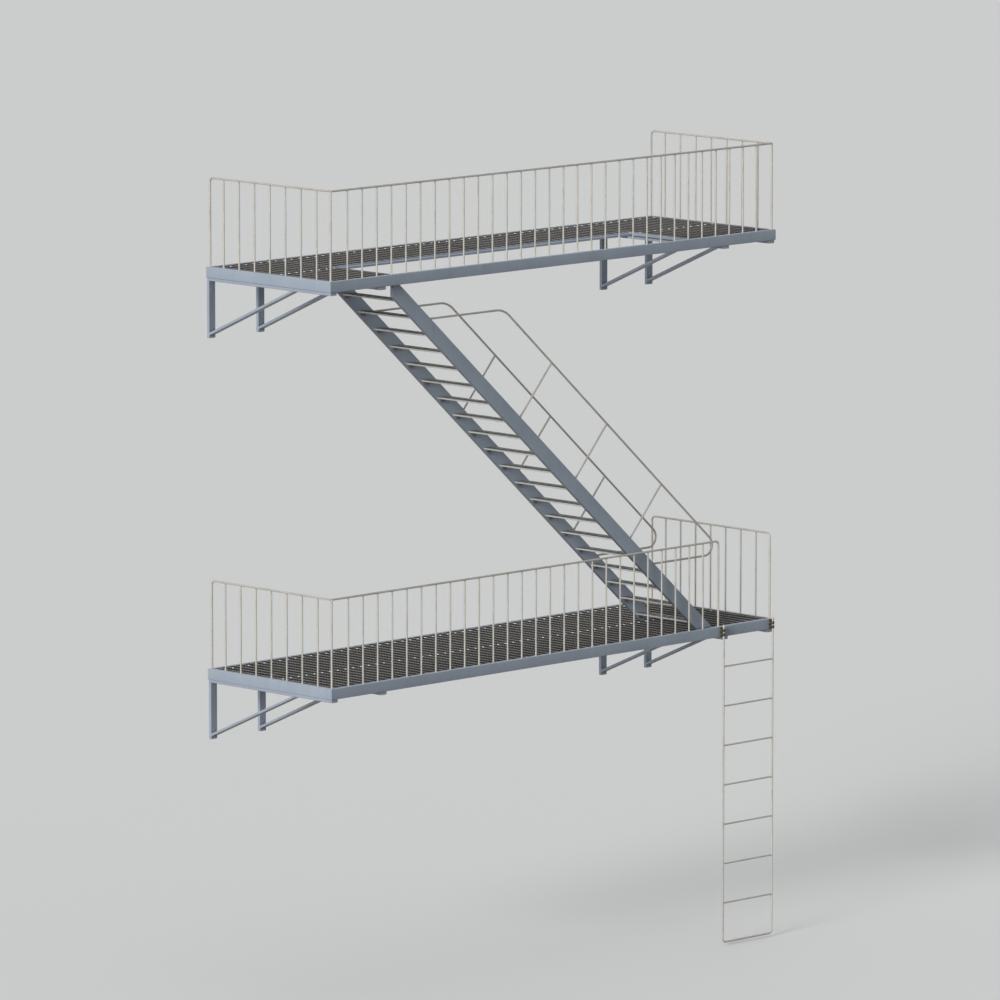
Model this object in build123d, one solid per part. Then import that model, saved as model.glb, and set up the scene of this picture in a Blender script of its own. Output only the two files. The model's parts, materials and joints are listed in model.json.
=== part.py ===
from build123d import *
import math
import os

# Wall fire escape: two grating platforms on wall brackets, joined by one stair
# flight, with a fixed ladder hanging from the lower platform.
# Millimetres. X runs along the wall, +Y points into the wall, +Z is up.
# The wall is the plane y = 0. The origin is the middle of the back face of the
# lower platform's left wall post.

# Platforms
storey_height = 4200
platform_length = 6580
platform_depth = 1855

# Platform frames: channels on edge, mitred at the corners
beam_height = 112
beam_flange = 50
beam_wall = 8
joist_thick = 20
header_width = 110
header_depth = 24
stub_joist_reach = 620

# Bar grating
grating_depth = 34
grating_bar_pitch = 40
grating_bar_thick = 5
grating_band_thick = 6
grating_gap = 2
lower_panel_count = 3
rear_panel_count = 2

# Stairwell in the upper platform
left_landing = 915
right_landing = 1353
well_depth = 830
trim_thick = 8
header_ledge = 75
trimmer_ledge = 65
trimmer_drop = 13

# Guards
guard_height = 923
guard_inset = 32
guard_rail_diameter = 22
baluster_diameter = 18
front_baluster_spacing = 209
front_end_bay = 237
side_baluster_spacing = 232
side_end_bay = 205
guard_wall_gap = 20
guard_bend_radius = 45
ladder_gap_width = 802
ladder_guard_setback = 6
ladder_guard_wall_gap = 47
guard_corner_gap = 0.3
bar_sides = 8

# Wall brackets
bracket_width = 84
bracket_thick = 34
bracket_inset = 12
bracket_pair_pitch = 697
post_length = 596
arm_setback = 10
brace_thick = 26
brace_reach = 1276
brace_foot_rise = 45
anchor_hole_diameter = 14
anchor_spacing = 400

# Stair flight
tread_count = 20
top_step = 288
foot_step = 85
flight_overrun = 39
tread_depth_share = 0.69
tread_thick = 15
nosing_width = 32
tread_slot_count = 4
tread_bar_thick = 5
tread_band_thick = 6
end_plate_thick = 6
end_plate_height = 66
end_plate_inset = 4
first_tread_offset = 125
stair_width = 793
stringer_depth = 155
stringer_thick = 44
stringer_front_offset = 75
stringer_setback = 47
tread_edge_rise = 27

# Stair handrails
handrail_diameter = 22
handrail_offset = 712
handrail_start_drop = 517
handrail_return_height = 772
handrail_top_radius = 280
handrail_foot_radius = 108
handrail_post_diameter = 20
handrail_post_count = 3
handrail_post_start_share = 0.4413
handrail_post_pitch_share = 0.1909
handrail_seat_gap = 0.3

# Ladder
rung_pitch = 428
rung_count = 7
rung_diameter = 18
ladder_bar_diameter = 20
ladder_width = 758
ladder_end_margin = 62
ladder_standoff = 40
ladder_corner_radius = 45
ladder_top_rise = 4
foot_bend_share = 0.95
rung_seat_gap = 0.3
cap_diameter = 32
cap_height = 18
clamp_width = 36
clamp_edge_margin = 4
clamp_clearance = 0.3
ring_diameter = 35
ring_height = 30
ring_drop = 37
ring_pitch = 44
ring_count = 2

cut_overrun = 20

# Places worked out from the driving dimensions
left_end = -(bracket_inset + bracket_width / 2)
right_end = left_end + platform_length
front_face = -platform_depth
lower_deck = beam_height + bracket_thick + post_length / 2
upper_deck = lower_deck + storey_height
decks = {"lower": lower_deck, "upper": upper_deck}
stairwell_length = platform_length - left_landing - right_landing
well_left = left_end + left_landing
well_right = well_left + stairwell_length
front_stringer_y = front_face + stringer_front_offset
back_stringer_y = front_stringer_y + stringer_thick + stair_width
well_back = front_face + beam_flange + well_depth
stringer_start = well_left + stringer_setback

os.makedirs("parts", exist_ok=True)


def save(shape, name):
    """Write one named piece, labelled with its own name."""
    shape.label = name
    export_step(shape, f"parts/{name}.step")


def block(x_range, y_range, z_range):
    """A box given by its lowest and highest place along each axis."""
    size = [high - low for low, high in (x_range, y_range, z_range)]
    middle = [(high + low) / 2 for low, high in (x_range, y_range, z_range)]
    return Pos(*middle) * Box(*size)


def plate(points, plane, thick):
    """A flat plate: a closed outline on a plane, given a thickness."""
    return extrude(plane * make_face(Polyline(*points, close=True)), amount=thick)


def straight_bar(start, end, diameter):
    """A round bar of few sides between two points, flats facing X, Y and Z."""
    axis = Vector(*end) - Vector(*start)
    side = Vector(0, 0, 1) if abs(axis.Z) < axis.length / 2 else Vector(1, 0, 0)
    plane = Plane(origin=start, x_dir=side, z_dir=axis)
    turn = 180 / bar_sides
    section = plane * Rot(0, 0, turn) * RegularPolygon(diameter / 2, bar_sides, major_radius=False)
    return extrude(section, amount=axis.length)


def bent_bar(points, radii, diameter):
    """A smooth round bar along straight runs joined by tangent bends."""
    path = FilletPolyline(*points, radius=radii)
    start = Plane(origin=path @ 0, z_dir=path % 0)
    return sweep(start * Circle(diameter / 2), path=path)


def bent_flat_bar(points, radius, diameter, side):
    """A bar of few sides along straight runs joined by tangent bends."""
    path = FilletPolyline(*points, radius=radius)
    start = Plane(origin=path @ 0, x_dir=side, z_dir=path % 0)
    turn = 180 / bar_sides
    section = start * Rot(0, 0, turn) * RegularPolygon(diameter / 2, bar_sides, major_radius=False)
    return sweep(section, path=path)


# Platform frames
def mitred_channel(start, end, inward, deck):
    """A channel on edge from corner to corner, web outside, mitred at both ends."""
    first, last, normal = Vector(*start), Vector(*end), Vector(*inward)
    along = (last - first).normalized()

    def band(outer, inner):
        corners = [
            first + (normal + along) * outer,
            last + (normal - along) * outer,
            last + (normal - along) * inner,
            first + (normal + along) * inner,
        ]
        return [(corner.X, corner.Y) for corner in corners]

    body = plate(band(0, beam_flange), Plane.XY.offset(deck - beam_height), beam_height)
    pocket_floor = Plane.XY.offset(deck - beam_height + beam_wall)
    pocket = plate(
        band(beam_wall, beam_flange + cut_overrun), pocket_floor, beam_height - 2 * beam_wall
    )
    return body - pocket


def make_frame(level, deck):
    corners = {
        "back_left": (left_end, 0),
        "back_right": (right_end, 0),
        "front_right": (right_end, front_face),
        "front_left": (left_end, front_face),
    }
    sides = {
        "front_beam": ("front_left", "front_right", (0, 1)),
        "wall_beam": ("back_left", "back_right", (0, -1)),
        "left_beam": ("back_left", "front_left", (1, 0)),
        "right_beam": ("back_right", "front_right", (-1, 0)),
    }
    for side, (start, end, inward) in sides.items():
        save(mitred_channel(corners[start], corners[end], inward, deck), f"{level}_{side}")


joist_depth = beam_height - beam_wall - grating_depth


def joist(start, thick, deck, reach, depth):
    """A bar under the grating from the wall beam's web out to the given reach."""
    top = deck - grating_depth
    return block((start, start + thick), (-reach, -beam_wall), (top - depth, top))


inner_left = left_end + beam_flange
inner_right = right_end - beam_flange
inner_front = front_face + beam_flange
inner_back = -beam_flange
full_reach = platform_depth - beam_wall
lower_panel_pitch = (inner_right - inner_left) / lower_panel_count
trim_left = well_left - trim_thick
trim_right = well_right + header_ledge + trim_thick
trim_back = well_back + trimmer_ledge + trim_thick
rear_panel_pitch = (trim_right - trim_left) / rear_panel_count


def make_lower_joists():
    starts = [inner_left, inner_right - joist_thick]
    for index in range(1, 2 * lower_panel_count):
        starts.append(inner_left + index * lower_panel_pitch / 2 - joist_thick / 2)
    bars = [joist(start, joist_thick, lower_deck, full_reach, joist_depth) for start in starts]
    save(Part() + bars, "lower_joists")


def make_upper_joists():
    bars = [
        joist(inner_left, joist_thick, upper_deck, full_reach, joist_depth),
        joist(
            well_left - joist_thick, joist_thick + stringer_setback, upper_deck, full_reach, joist_depth
        ),
        joist(well_right, header_width, upper_deck, full_reach, header_depth),
        joist(inner_right - joist_thick, joist_thick, upper_deck, full_reach, joist_depth),
    ]
    for index in range(1, 2 * rear_panel_count):
        start = trim_left + index * rear_panel_pitch / 2 - joist_thick / 2
        bars.append(joist(start, joist_thick, upper_deck, stub_joist_reach, header_depth))
    save(Part() + bars, "upper_joists")


# Grating
def grating_panel(x_range, y_range, deck):
    """Bearing bars along X inside a banding frame: a plate with long slots."""
    x_low, x_high = x_range[0] + grating_gap / 2, x_range[1] - grating_gap / 2
    y_low, y_high = y_range[0] + grating_gap / 2, y_range[1] - grating_gap / 2
    slab = block((x_low, x_high), (y_low, y_high), (deck - grating_depth, deck))
    clear = y_high - y_low - 2 * grating_band_thick
    slot_count = round((clear + grating_bar_thick) / grating_bar_pitch)
    slot_pitch = (clear + grating_bar_thick) / slot_count
    slot_length = x_high - x_low - 2 * grating_band_thick
    slot = Box(slot_length, slot_pitch - grating_bar_thick, grating_depth + cut_overrun)
    first = y_low + grating_band_thick + (slot_pitch - grating_bar_thick) / 2
    slots = [
        Pos((x_low + x_high) / 2, first + index * slot_pitch, deck - grating_depth / 2) * slot
        for index in range(slot_count)
    ]
    return slab - slots


def make_gratings():
    lower = []
    for index in range(lower_panel_count):
        start = inner_left + index * lower_panel_pitch
        panel = grating_panel((start, start + lower_panel_pitch), (inner_front, inner_back), lower_deck)
        lower.append(panel)
    save(Part() + lower, "lower_grating")

    left = grating_panel((inner_left, trim_left), (inner_front, inner_back), upper_deck)
    right = grating_panel((trim_right, inner_right), (inner_front, inner_back), upper_deck)
    save(left, "upper_grating_left")
    save(right, "upper_grating_right")
    rear = []
    for index in range(rear_panel_count):
        start = trim_left + index * rear_panel_pitch
        depth_range = (trim_back, inner_back)
        rear.append(grating_panel((start, start + rear_panel_pitch), depth_range, upper_deck))
    save(Part() + rear, "upper_grating_rear")


def make_stairwell_trim():
    """Flat bar edging on three sides of the stairwell, with a trimmer bar low on its back side."""
    height = (upper_deck - grating_depth, upper_deck)
    outer = block((trim_left, trim_right), (inner_front, trim_back), height)
    opening = block(
        (well_left, trim_right - trim_thick),
        (inner_front - cut_overrun, trim_back - trim_thick),
        (height[0] - cut_overrun, height[1] + cut_overrun),
    )
    trimmer = block(
        (well_left, trim_right - trim_thick),
        (well_back, trim_back - trim_thick),
        (height[0], upper_deck - trimmer_drop),
    )
    save(outer - opening + trimmer, "stairwell_trim")


# Guards
def even_places(start, end, end_bay, spacing):
    """Baluster places between two end posts, the end bays being of their own width."""
    bays = round((end - start - 2 * end_bay) / spacing)
    step = (end - start - 2 * end_bay) / bays
    return [start + end_bay + index * step for index in range(bays + 1)]


def front_guard(start, end, deck, bent_end):
    """Top rail over end posts and balusters in the plane of the front beam."""
    line = front_face + guard_inset
    top = deck + guard_height
    bars = []
    if bent_end:
        points = [(start, line, top), (end, line, top), (end, line, deck)]
        bars.append(bent_flat_bar(points, guard_bend_radius, guard_rail_diameter, (0, 0, 1)))
    else:
        bars.append(straight_bar((end, line, deck), (end, line, top), guard_rail_diameter))
        overlap = guard_rail_diameter / 2
        bars.append(straight_bar((start, line, top), (end + overlap, line, top), guard_rail_diameter))
    overlap = guard_rail_diameter / 2
    bars.append(straight_bar((start, line, deck), (start, line, top + overlap), guard_rail_diameter))
    for place in even_places(start, end, front_end_bay, front_baluster_spacing):
        bars.append(straight_bar((place, line, deck), (place, line, top), baluster_diameter))
    return Part() + bars


def side_guard(place, deck, front, back, bent_front):
    """Top rail running out from the wall, bent down into its wall-side end post."""
    top = deck + guard_height
    if bent_front:
        points = [(place, front, deck), (place, front, top), (place, back, top), (place, back, deck)]
        first_post = front
    else:
        points = [(place, front, top), (place, back, top), (place, back, deck)]
        first_post = front_face + guard_inset
    side = (1, 0, 0)
    bars = [bent_flat_bar(points, guard_bend_radius, guard_rail_diameter, side)]
    for baluster in even_places(first_post, back, side_end_bay, side_baluster_spacing):
        bars.append(straight_bar((place, baluster, deck), (place, baluster, top), baluster_diameter))
    return Part() + bars


def make_guards():
    left_line = left_end + guard_inset
    right_line = right_end - guard_inset
    back = -guard_wall_gap - guard_rail_diameter / 2
    ladder_back = -ladder_guard_wall_gap - guard_rail_diameter / 2
    butt = front_face + guard_inset + guard_rail_diameter / 2 + guard_corner_gap
    ladder_front = front_face + guard_inset + ladder_guard_setback
    gap_start = right_line - ladder_gap_width
    save(front_guard(left_line, right_line, upper_deck, False), "upper_front_guard")
    save(side_guard(left_line, upper_deck, butt, back, False), "upper_left_guard")
    save(side_guard(right_line, upper_deck, butt, back, False), "upper_right_guard")
    save(front_guard(left_line, gap_start, lower_deck, True), "lower_front_guard")
    save(side_guard(left_line, lower_deck, butt, back, False), "lower_left_guard")
    save(side_guard(right_line, lower_deck, ladder_front, ladder_back, True), "lower_right_guard")


# Wall brackets
def bracket_starts():
    """Left edges of the four brackets: a pair at each end of the platform."""
    first = left_end + bracket_inset
    last = right_end - bracket_inset - bracket_width
    return [first, first + bracket_pair_pitch, last - bracket_pair_pitch, last]


def wall_post(start, arm_under):
    middle = start + bracket_width / 2
    bottom = arm_under - post_length
    post = block((start, start + bracket_width), (-bracket_thick, 0), (bottom, arm_under))
    hole = Rot(90, 0, 0) * Cylinder(anchor_hole_diameter / 2, bracket_thick + cut_overrun)
    for offset in (-anchor_spacing / 2, anchor_spacing / 2):
        post -= Pos(middle, -bracket_thick / 2, bottom + post_length / 2 + offset) * hole
    return post


def brace(start, arm_under):
    """A sloping strut cut to seat on the post's front face and under the arm."""
    foot_height = arm_under - post_length + brace_foot_rise
    rise = arm_under - foot_height
    run = brace_reach - bracket_thick
    length = math.hypot(rise, run)
    half_upright = brace_thick / 2 * length / run
    half_level = brace_thick / 2 * length / rise
    outline = [
        (-bracket_thick, foot_height - half_upright),
        (-bracket_thick, foot_height + half_upright),
        (-brace_reach + half_level, arm_under),
        (-brace_reach - half_level, arm_under),
    ]
    return plate(outline, Plane.YZ.offset(start), bracket_width)


def make_brackets(level, deck):
    arm_under = deck - beam_height - bracket_thick
    starts = bracket_starts()
    save(Part() + [wall_post(start, arm_under) for start in starts], f"{level}_wall_posts")
    arms = []
    for start in starts:
        arms.append(
            block(
                (start, start + bracket_width),
                (front_face + arm_setback, 0),
                (arm_under, arm_under + bracket_thick),
            )
        )
    save(Part() + arms, f"{level}_bracket_arms")
    save(Part() + [brace(start, arm_under) for start in starts], f"{level}_bracket_braces")


# Stair flight
riser = (storey_height - top_step - foot_step) / (tread_count - 1)
tread_going = (stairwell_length + flight_overrun) / (tread_count - 1)
tread_depth = tread_going * tread_depth_share
slope = math.atan2(riser, tread_going)
stringer_upright = stringer_depth / math.cos(slope)
first_tread_x = well_left + first_tread_offset
first_tread_z = upper_deck - top_step


def stringer_top_x(height):
    """Where the stringers' upper edge passes a given height."""
    edge_at_first = first_tread_z - tread_edge_rise + stringer_upright
    return first_tread_x + (edge_at_first - height) / math.tan(slope)


def stringer_top_z(place):
    """Height of the stringers' upper edge at a given place along X."""
    edge_at_first = first_tread_z - tread_edge_rise + stringer_upright
    return edge_at_first - (place - first_tread_x) * math.tan(slope)


def stringer(line, thick):
    """A flat bar from the header joist down to the lower platform."""
    top = stringer_top_z(stringer_start)
    foot = stringer_top_x(lower_deck)
    outline = [
        (stringer_start, top),
        (foot, lower_deck),
        (foot - stringer_upright / math.tan(slope), lower_deck),
        (stringer_start, top - stringer_upright),
    ]
    return plate(outline, Plane.XZ.offset(-line), -thick)


def tread():
    """A grating step: a back bar, bars across the flight, a nosing and two bolting plates."""
    back = stair_width
    slab = block((0, tread_depth), (0, back), (-tread_thick, 0))
    clear = tread_depth - tread_band_thick - nosing_width
    pitch = (clear + tread_bar_thick) / tread_slot_count
    slot = Box(pitch - tread_bar_thick, back - 2 * end_plate_thick, tread_thick + cut_overrun)
    first = tread_band_thick + (pitch - tread_bar_thick) / 2
    slab -= [
        Pos(first + index * pitch, back / 2, -tread_thick / 2) * slot
        for index in range(tread_slot_count)
    ]
    drop = end_plate_height - tread_edge_rise
    outline = [
        (end_plate_inset, -tread_thick),
        (end_plate_inset + drop / math.tan(slope), -end_plate_height),
        (tread_depth - end_plate_inset, -end_plate_height),
        (tread_depth - end_plate_inset, -tread_thick),
    ]
    for line in (0, back - end_plate_thick):
        slab += plate(outline, Plane.XZ.offset(-line), -end_plate_thick)
    return slab


def make_flight():
    save(stringer(front_stringer_y, stringer_thick), "front_stringer")
    save(stringer(back_stringer_y, stringer_thick), "back_stringer")
    step = tread()
    for index in range(tread_count):
        place = Pos(
            first_tread_x + index * tread_going,
            front_stringer_y + stringer_thick,
            first_tread_z - index * riser,
        )
        save(place * step, f"tread_{index + 1:02d}")


def handrail(line):
    """A bent bar: level at the top, down beside the flight, turned back at the foot."""
    start_height = upper_deck - handrail_start_drop
    return_height = lower_deck + handrail_return_height
    rise = handrail_offset / math.cos(slope)
    sink = cut_overrun / math.tan(slope)
    points = [
        (stringer_top_x(start_height) - sink, line, start_height),
        (stringer_top_x(start_height - rise), line, start_height),
        (stringer_top_x(return_height - rise), line, return_height),
        (stringer_top_x(return_height) - sink, line, return_height),
    ]
    return bent_bar(points, [handrail_top_radius, handrail_foot_radius], handrail_diameter)


def handrail_posts(line):
    """Short posts square to the flight, from the stringer's edge to the rail."""
    length = handrail_offset - handrail_diameter / 2 - handrail_seat_gap
    posts = []
    for index in range(handrail_post_count):
        share = handrail_post_start_share + index * handrail_post_pitch_share
        place = well_left + share * stairwell_length
        foot = Vector(place, line, stringer_top_z(place))
        head = foot + Vector(math.sin(slope), 0, math.cos(slope)) * length
        plane = Plane(origin=foot, z_dir=head - foot)
        posts.append(extrude(plane * Circle(handrail_post_diameter / 2), amount=length))
    return Part() + posts


def make_handrails():
    for name, start in (("front", front_stringer_y), ("back", back_stringer_y)):
        line = start + stringer_thick / 2
        seat = stringer(line - handrail_diameter, 2 * handrail_diameter)
        save(handrail(line) - seat, f"{name}_handrail")
        save(handrail_posts(line), f"{name}_handrail_posts")


# Ladder
def make_ladder():
    line = front_face - ladder_standoff
    right = right_end - ladder_end_margin
    left = right - ladder_width
    top = lower_deck + ladder_top_rise
    bottom = lower_deck - (rung_count + 1) * rung_pitch
    bend_start = bottom + ladder_corner_radius
    rails = []
    for place in (left, right):
        rail = Cylinder(ladder_bar_diameter / 2, top - bend_start)
        rails.append(Pos(place, line, (top + bend_start) / 2) * rail)
    save(Part() + rails, "ladder_rails")

    points = [
        (left, line, bend_start),
        (left, line, bottom),
        (right, line, bottom),
        (right, line, bend_start),
    ]
    save(bent_bar(points, ladder_corner_radius * foot_bend_share, ladder_bar_diameter), "ladder_foot")

    rung_length = ladder_width - ladder_bar_diameter - 2 * rung_seat_gap
    rung = Rot(0, 90, 0) * Cylinder(rung_diameter / 2, rung_length)
    rungs = [
        Pos((left + right) / 2, line, lower_deck - (index + 1) * rung_pitch) * rung
        for index in range(rung_count)
    ]
    save(Part() + rungs, "ladder_rungs")

    cap = Cylinder(cap_diameter / 2, cap_height)
    caps = [Pos(place, line, top + cap_height / 2) * cap for place in (left, right)]
    save(Part() + caps, "ladder_caps")

    save(Part() + [Pos(place, line, lower_deck) * ladder_clamp() for place in (left, right)], "ladder_clamps")


def ladder_clamp():
    """A block between the front beam and a rail, with rings that close round the rail."""
    body_low, body_high = clamp_edge_margin - beam_height, -clamp_edge_margin
    clamp = block((-clamp_width / 2, clamp_width / 2), (0, ladder_standoff), (body_low, body_high))
    for index in range(ring_count):
        ring = Cylinder(ring_diameter / 2, ring_height)
        clamp += Pos(0, 0, -ring_drop - index * ring_pitch) * ring
    bore_radius = ladder_bar_diameter / 2 + clamp_clearance
    bore = Cylinder(bore_radius, beam_height + cut_overrun)
    return clamp - Pos(0, 0, -beam_height / 2) * bore


for level, deck in decks.items():
    make_frame(level, deck)
    make_brackets(level, deck)
make_lower_joists()
make_upper_joists()
make_gratings()
make_stairwell_trim()
make_guards()
make_flight()
make_handrails()
make_ladder()
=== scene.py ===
# %% [markdown]
# # A wall fire escape, dressed in Blender
# The real thing is a steel stair that hangs on a wall: two grating platforms on brackets, bar
# guards, one steep flight with bent handrails, and a ladder below. A CAD model already holds the
# true sizes. This lesson loads it as a fixed frame and adds what a workshop would add: round
# bars, rolled edges, welds, bolts, cross rods and the finishes. It could all be modelled
# again from nothing, but then the two models would drift apart, so the frame always leads.

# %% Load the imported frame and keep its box
import json
import math
import bpy
import numpy as np
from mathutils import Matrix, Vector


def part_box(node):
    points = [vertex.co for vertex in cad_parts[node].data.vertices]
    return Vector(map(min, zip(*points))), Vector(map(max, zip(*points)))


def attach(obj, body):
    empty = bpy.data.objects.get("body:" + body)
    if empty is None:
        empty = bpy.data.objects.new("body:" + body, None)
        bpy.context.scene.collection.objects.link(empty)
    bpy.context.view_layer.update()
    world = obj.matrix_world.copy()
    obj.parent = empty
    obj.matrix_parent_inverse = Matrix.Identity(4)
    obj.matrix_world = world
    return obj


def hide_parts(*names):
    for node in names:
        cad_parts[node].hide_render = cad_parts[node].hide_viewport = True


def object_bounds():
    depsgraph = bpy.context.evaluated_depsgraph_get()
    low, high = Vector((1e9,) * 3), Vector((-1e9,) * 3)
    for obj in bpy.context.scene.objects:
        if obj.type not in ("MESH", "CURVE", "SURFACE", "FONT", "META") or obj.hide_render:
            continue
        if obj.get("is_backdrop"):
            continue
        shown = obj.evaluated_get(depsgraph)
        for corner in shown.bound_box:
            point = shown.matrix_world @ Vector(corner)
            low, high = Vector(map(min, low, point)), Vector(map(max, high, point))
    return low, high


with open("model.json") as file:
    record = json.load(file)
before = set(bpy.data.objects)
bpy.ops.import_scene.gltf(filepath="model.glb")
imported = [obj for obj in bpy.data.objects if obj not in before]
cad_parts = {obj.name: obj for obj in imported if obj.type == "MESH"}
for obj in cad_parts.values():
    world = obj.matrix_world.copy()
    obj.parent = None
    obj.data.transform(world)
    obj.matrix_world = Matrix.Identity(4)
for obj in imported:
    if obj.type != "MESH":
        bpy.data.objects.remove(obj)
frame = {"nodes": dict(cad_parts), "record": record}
cad_low, cad_high = (list(corner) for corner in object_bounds())
nodes = frame["nodes"]
print("CAD nodes:", len(nodes), "box:", [round(h - l, 3) for l, h in zip(cad_low, cad_high)])

# %% [markdown]
# ## The camera
# The fire escape is seen from far off through a long lens, a little from above and half from
# the left. A short lens close by would spread the platforms' edges too much, so the place, the
# two angles and the focal length below are the ones at which the frame's corners fall where a
# distant viewer sees them. The picture is taken to be 1000 by 1000.

# %% Camera
camera_place = (-64.139, -68.750, 15.970)
camera_turn = 44.837
camera_tilt = 8.332
camera_lens = 330.2
far_limit = 1500.0

lens_data = bpy.data.cameras.new("viewer")
lens_data.lens = camera_lens
lens_data.sensor_width = 36.0
lens_data.clip_end = far_limit
camera = bpy.data.objects.new("viewer", lens_data)
camera.location = camera_place
camera.rotation_euler = (math.radians(90 - camera_tilt), 0, math.radians(-camera_turn))
bpy.context.scene.collection.objects.link(camera)
bpy.context.scene.camera = camera
print("camera distance:", round(float(np.linalg.norm(camera_place)), 1), "m")

# %% [markdown]
# ## Node helpers
# Finishes, floor and room are all small trees of shader nodes. Joining them one call at a time
# is long to read, so a few helpers come first. One of them tells apart the rays that end in the
# eye from the light that only scatters about the room, which lets the floor look pale without
# lighting the underside of everything.

# %% Node helpers
def link_chain(tree, *sockets):
    """Join sockets two by two: the first to the second, the third to the fourth, and so on."""
    for out_socket, in_socket in zip(sockets[0::2], sockets[1::2]):
        tree.links.new(out_socket, in_socket)


def new_material(name):
    """A node material with its surface shader and output joined."""
    material = bpy.data.materials.new(name)
    material.use_nodes = True
    tree = material.node_tree
    return material, tree, tree.nodes["Principled BSDF"]


def add_mix(tree, share, first, second):
    """Blend two colours by a share; a colour is a tuple or another node's output."""
    mix = tree.nodes.new("ShaderNodeMix")
    mix.data_type = "RGBA"
    tree.links.new(share, mix.inputs["Factor"])
    for colour, socket in ((first, mix.inputs[6]), (second, mix.inputs[7])):
        if isinstance(colour, tuple):
            socket.default_value = (*colour, 1.0)
        else:
            tree.links.new(colour, socket)
    return mix.outputs[2]


def seen_rays(tree):
    """One for rays that end in the eye, straight, mirrored or let through; zero for other light."""
    rays = tree.nodes.new("ShaderNodeLightPath")
    mirrored = tree.nodes.new("ShaderNodeMath")
    mirrored.operation = "MAXIMUM"
    seen = tree.nodes.new("ShaderNodeMath")
    seen.operation = "MAXIMUM"
    link_chain(
        tree,
        rays.outputs["Is Glossy Ray"], mirrored.inputs[0],
        rays.outputs["Is Transmission Ray"], mirrored.inputs[1],
        rays.outputs["Is Camera Ray"], seen.inputs[0],
        mirrored.outputs[0], seen.inputs[1],
    )
    return seen.outputs[0]


print("node helpers ready")

# %% [markdown]
# ## Light and floor
# A stair of this size stands in a big, evenly lit studio: a wide soft key light from the left, a
# weaker one beside it that reaches in level under the platforms, faint fills from the front, the
# back and above, a dim room light and a pale floor. Area lamps near the object would leave bright
# pools on the floor, so each lamp is a sun with a large disc, which lights every part alike. The
# floor lies just under the ladder's foot and runs on to the far limit of the view.

# %% Floor, sun and room light
floor_drop = 0.03
floor_reach = 900.0
floor_tone = (0.80, 0.80, 0.79)
floor_bounce = (0.16, 0.16, 0.16)
room_strength = 0.28
backdrop_tone = (0.60, 0.61, 0.62)

floor_z = cad_low[2] - floor_drop
floor_square = np.array([(-1, -1), (1, -1), (1, 1), (-1, 1)]) * floor_reach
floor_mesh = bpy.data.meshes.new("studio_floor")
floor_mesh.from_pydata([(x, y, floor_z) for x, y in floor_square], [], [(0, 1, 2, 3)])
floor = bpy.data.objects.new("studio_floor", floor_mesh)
bpy.context.scene.collection.objects.link(floor)
floor_material, floor_tree, floor_shader = new_material("pale_floor")
floor_colour = add_mix(floor_tree, seen_rays(floor_tree), floor_bounce, floor_tone)
floor_tree.links.new(floor_colour, floor_shader.inputs["Base Color"])
floor_shader.inputs["Roughness"].default_value = 0.9
floor_shader.inputs["Specular IOR Level"].default_value = 0.1
floor_mesh.materials.append(floor_material)
floor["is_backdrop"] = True


def add_sun(name, strength, disc, toward, colour, highlights=True):
    """A sun that shines along a direction: tilted from straight down, then turned about Z. A fill
    leaves no highlights."""
    data = bpy.data.lights.new(name, "SUN")
    data.energy = strength
    data.angle = math.radians(disc)
    data.color = colour
    lamp = bpy.data.objects.new(name, data)
    lamp.visible_glossy = highlights
    toward = np.asarray(toward) / np.linalg.norm(toward)
    lamp.rotation_euler = (math.acos(-toward[2]), 0, math.atan2(toward[1], toward[0]) - math.pi / 2)
    bpy.context.scene.collection.objects.link(lamp)


add_sun("side_key", 2.45, 20.0, (0.90, 0.21, -0.38), (1.0, 0.99, 0.98))
add_sun("low_key", 0.95, 12.0, (0.97, 0.22, -0.03), (0.98, 0.99, 1.0))
add_sun("front_fill", 0.15, 40.0, (-0.30, 0.93, -0.20), (0.90, 0.96, 1.0), False)
add_sun("back_fill", 0.75, 40.0, (-0.75, -0.58, -0.30), (0.96, 0.98, 1.0), False)
add_sun("top_fill", 0.30, 40.0, (0.10, 0.05, -1.0), (0.96, 0.98, 1.0), False)

world = bpy.data.worlds.new("studio_room")
bpy.context.scene.world = world
world.use_nodes = True
room = world.node_tree
room_light = room.nodes["Background"]
room_glow = tuple(room_strength * share for share in (0.95, 0.98, 1.0))
room.links.new(add_mix(room, seen_rays(room), room_glow, backdrop_tone), room_light.inputs["Color"])
bpy.context.scene.view_settings.view_transform = "Standard"
print("floor at", round(floor_z, 3), "m, room light", room_strength)

# %% [markdown]
# ## Finishes
# Each finish is a small tree of nodes on Object coordinates, in metres, so a pattern keeps its
# true size on every piece: clouds half a metre wide, streaks where rain runs down, grain of a
# few millimetres. A photo texture would need unwrapping and would repeat, and noise does not.

# %% Patterns for finishes
def add_noise(tree, coordinates, scale, detail=3.0, stretch=(1.0, 1.0, 1.0)):
    """A noise pattern with so many cells to the metre, drawn out along an axis by stretch."""
    mapping = tree.nodes.new("ShaderNodeMapping")
    mapping.inputs["Scale"].default_value = stretch
    noise = tree.nodes.new("ShaderNodeTexNoise")
    noise.inputs["Scale"].default_value = scale
    noise.inputs["Detail"].default_value = detail
    link_chain(
        tree, coordinates, mapping.inputs["Vector"], mapping.outputs["Vector"], noise.inputs["Vector"]
    )
    return noise.outputs["Fac"]


def add_range(tree, value, low, high, out_low, out_high):
    """Read a value between low and high as one between out_low and out_high."""
    span = tree.nodes.new("ShaderNodeMapRange")
    span.inputs["From Min"].default_value = low
    span.inputs["From Max"].default_value = high
    span.inputs["To Min"].default_value = out_low
    span.inputs["To Max"].default_value = out_high
    tree.links.new(value, span.inputs["Value"])
    return span.outputs["Result"]


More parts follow.
